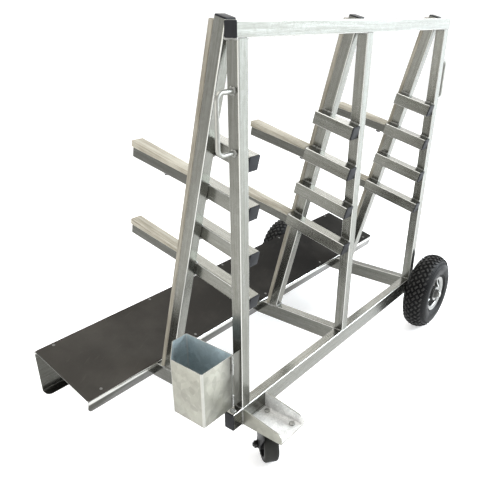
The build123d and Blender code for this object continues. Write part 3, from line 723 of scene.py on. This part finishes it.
weldShape = {"radius": 0.0036, "flat": 0.72, "step": 0.0037, "jitter": 0.0008, "sizes": (0.78, 1.12),
             "seed": 7}
weldPlaces = {
    "footHeight": 0.1952, "postInset": 0.004, "crossTube": (0.046, 0.003),
    "sleeves": ((0.817, 0.1206), (0.710, 0.1479), (0.602, 0.1754), (0.494, 0.2029)),  # top, length
    "sleeveEdges": ((0, 0.030), (0.035, 0.021)),  # drop from the top, end on the post
    "sleeveStart": 0.004, "legRun": (0.030, 0.002), "handleFoot": 0.005, "handleRing": 0.0056,
    "bracketEnds": 0.002, "bracketInset": 0.006, "bracketFloor": 0.004,
    "binFace": -0.552, "binRuns": ((0.004, 0.034), (0.098, 0.146)),
    "beamDabs": (0.006, 0.010, 0.014), "dabSlant": 0.002, "dabRun": (0.008, 0.018),
    "hangers": (-0.200, 0.230), "hangerPlate": 0.008, "hangerFace": 0.477, "hangerRun": (0.149, 0.188),
}
seams = []


def seam(start, end):
    seams.append((Vector(start), Vector(end)))


def ringSeam(centre, radius):  # round a bar that stands on a face square to X
    turns = [math.pi * step / 3 for step in range(7)]
    rim = [Vector(centre) + Vector((0, radius * math.cos(turn), radius * math.sin(turn))) for turn in turns]
    for start, end in zip(rim, rim[1:]):
        seam(start, end)


for place in places:
    postLow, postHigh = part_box(f"{place}_post")
    for level in (postLow.z, postHigh.z):
        for side in (postLow.x, postHigh.x):
            seam((side, postLow.y + weldPlaces["postInset"], level), (side, postHigh.y, level))
        seam((postLow.x, postHigh.y, level), (postHigh.x, postHigh.y, level))
    corners = frame["nodes"][f"{place}_leg"].data.vertices
    foot = [corner.co.y for corner in corners if corner.co.z < weldPlaces["footHeight"]]
    tubeLow, tubeHigh = [postLow.z - drop for drop in weldPlaces["crossTube"]]
    for side in (postLow.x, postHigh.x):
        seam((side, min(foot), postLow.z), (side, max(foot), postLow.z))
        seam((side, postHigh.y, tubeLow), (side, postHigh.y, tubeHigh))
    for edge in (min(foot), max(foot)):
        seam((postLow.x, edge, postLow.z), (postHigh.x, edge, postLow.z))
    sleeveLow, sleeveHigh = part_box(f"{place}_sleeves")
    contact = sleeveLow.x if place == "near" else sleeveHigh.x
    for top, length in weldPlaces["sleeves"]:
        for drop, postEnd in weldPlaces["sleeveEdges"]:
            edge = Vector((contact, postLow.y, top)) - upward * drop
            legStart, legEnd = [length - short for short in weldPlaces["legRun"]]
            seam(edge + along * weldPlaces["sleeveStart"], edge + along * postEnd)
            seam(edge + along * legStart, edge + along * legEnd)

for node in ("near_handle", "far_handle"):
    low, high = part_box(node)
    face = high.x if node == "near_handle" else low.x
    for level in (low.z + weldPlaces["handleFoot"], high.z - weldPlaces["handleFoot"]):
        ringSeam((face, (low.y + high.y) / 2, level), weldPlaces["handleRing"])

low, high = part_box("caster_bracket")
ends, inset, floorEdge = weldPlaces["bracketEnds"], weldPlaces["bracketInset"], weldPlaces["bracketFloor"]
for side in (low.x, high.x):
    seam((side, high.y, low.z + ends), (side, high.y, high.z - ends))
seam((low.x + inset, high.y, low.z + floorEdge), (high.x - inset, high.y, low.z + floorEdge))

low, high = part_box("tool_bin")
for start, end in weldPlaces["binRuns"]:
    seam((weldPlaces["binFace"], low.y, low.z + start), (weldPlaces["binFace"], low.y, low.z + end))

low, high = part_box("bottom_beam")
for shift in weldPlaces["beamDabs"]:  # three dabs on top of the beam's near end
    start, end = [low.y + run for run in weldPlaces["dabRun"]]
    seam((low.x + shift, start, high.z), (low.x + shift + weldPlaces["dabSlant"], end, high.z))

for hanger in weldPlaces["hangers"]:
    for edge in (hanger, hanger - weldPlaces["hangerPlate"]):
        seam(*[(weldPlaces["hangerFace"], edge, level) for level in weldPlaces["hangerRun"]])


def weldDrop():  # one flattened drop, modelled once
    deselect()
    bpy.ops.mesh.primitive_uv_sphere_add(segments=8, ring_count=6, radius=weldShape["radius"],
                                         location=(0, 0, 0))
    drop = bpy.context.object
    editAll()
    bpy.ops.transform.resize(value=(1, 1, weldShape["flat"]))
    bpy.ops.object.mode_set(mode="OBJECT")
    return drop


def weldBeads():
    dice = random.Random(weldShape["seed"])
    drop = weldDrop()
    beads = []
    for start, end in seams:
        way = end - start
        count = max(2, round(way.length / weldShape["step"]))
        lay = way.to_track_quat("Z", "X").to_matrix().to_4x4()
        for step in range(count + 1):
            wobble = Vector([dice.uniform(-1, 1) * weldShape["jitter"] for axis in range(3)])
            size = dice.uniform(*weldShape["sizes"])
            spot = Matrix.Translation(start + way * step / count + wobble)
            beads.append(copied(drop, spot @ lay @ Matrix.Diagonal((size, size, size, 1))))
    bpy.data.objects.remove(drop)
    return fit(joined(beads), "weldBeads", weldMetal, "frame", angle=60)


weldBeads()
print("welds laid:", len(seams), "seams")

# studio: a pale floor swept up into walls all round, soft boxes and the camera
viewpoint = {"place": (-1.3312, -0.9693, 1.0688), "yaw": 38.98, "pitch": 27.39, "lens": 38.72,
             "shift": (-0.0081, 0.0902)}
sweep = {"size": 26, "wall": 8, "bend": 3, "steps": 12, "paint": (0.8, 0.8, 0.8, 1), "glow": 0.5}
sky = {"Color": (1, 0.985, 0.95, 1), "Strength": 0.3}
deselect()
bpy.ops.mesh.primitive_cube_add(size=1, location=(0, 0, sweep["wall"] / 2),
                                scale=(sweep["size"], sweep["size"], sweep["wall"]))
floor = bpy.context.object
bpy.ops.object.transform_apply(location=True, scale=True)
pick(floor, lambda face: face.normal.z > 0.9)
bpy.ops.mesh.delete(type="FACE")
bpy.ops.mesh.select_all(action="SELECT")
bpy.ops.mesh.flip_normals()
bpy.ops.object.mode_set(mode="OBJECT")
bevel(floor, sweep["bend"], sweep["steps"])
moved(floor, Matrix.Rotation(math.radians(viewpoint["yaw"]), 4, "Z"))
bpy.ops.object.shade_smooth_by_angle(angle=math.radians(40))
floor.name = "floor"
floorPaint = Finish("floorPaint").set(Base_Color=sweep["paint"], Roughness=0.7,
                                      Emission_Color=(1, 1, 1, 1), Emission_Strength=sweep["glow"])
floor.data.materials.append(floorPaint.material)

world = bpy.data.worlds.new("studio")
bpy.context.scene.world = world
world.use_nodes = True
for socket, value in sky.items():
    world.node_tree.nodes["Background"].inputs[socket].default_value = value
bpy.context.scene.view_settings.view_transform = "Standard"

lamps = {  # place, aim, width and height, watts, tint
    "frontBox": ((2.9, -3.1, 2.4), (0.9, -1.2, 0), (3, 2.4), 300, (0.87, 0.94, 1)),
    "sideBox": ((4.4, -3.2, 1.2), (0, -0.3, 0.8), (3.5, 2.6), 90, (0.85, 0.93, 1)),
    "leftBox": ((-2.7, 0.1, 0.7), (0, 0.1, 0.75), (1.4, 0.9), 16, (1, 0.99, 0.95)),
    "topBox": ((-0.8, 0.2, 4), (-0.2, 0, 0), (3.5, 2.5), 115, (1, 0.99, 0.96)),
    "backBox": ((3.4, 1.8, 3.9), (0, 0, 0.5), (4.5, 3.2), 115, (1, 0.99, 0.97)),
}
for name, (place, aim, size, power, tint) in lamps.items():
    lamp = bpy.data.lights.new(name, "AREA")
    lamp.shape = "RECTANGLE"
    lamp.size, lamp.size_y = size
    lamp.energy = power
    lamp.color = tint
    holder = bpy.data.objects.new(name, lamp)
    bpy.context.collection.objects.link(holder)
    holder.location = place
    holder.rotation_euler = (Vector(aim) - Vector(place)).to_track_quat("-Z", "Y").to_euler()

lensData = bpy.data.cameras.new("viewpoint")
lensData.lens = viewpoint["lens"]
lensData.shift_x, lensData.shift_y = viewpoint["shift"]
camera = bpy.data.objects.new("viewpoint", lensData)
bpy.context.collection.objects.link(camera)
camera.location = viewpoint["place"]
camera.rotation_euler = (math.radians(90 - viewpoint["pitch"]), 0,
                         math.radians(viewpoint["yaw"] - 90))
bpy.context.scene.camera = camera
print("studio set")
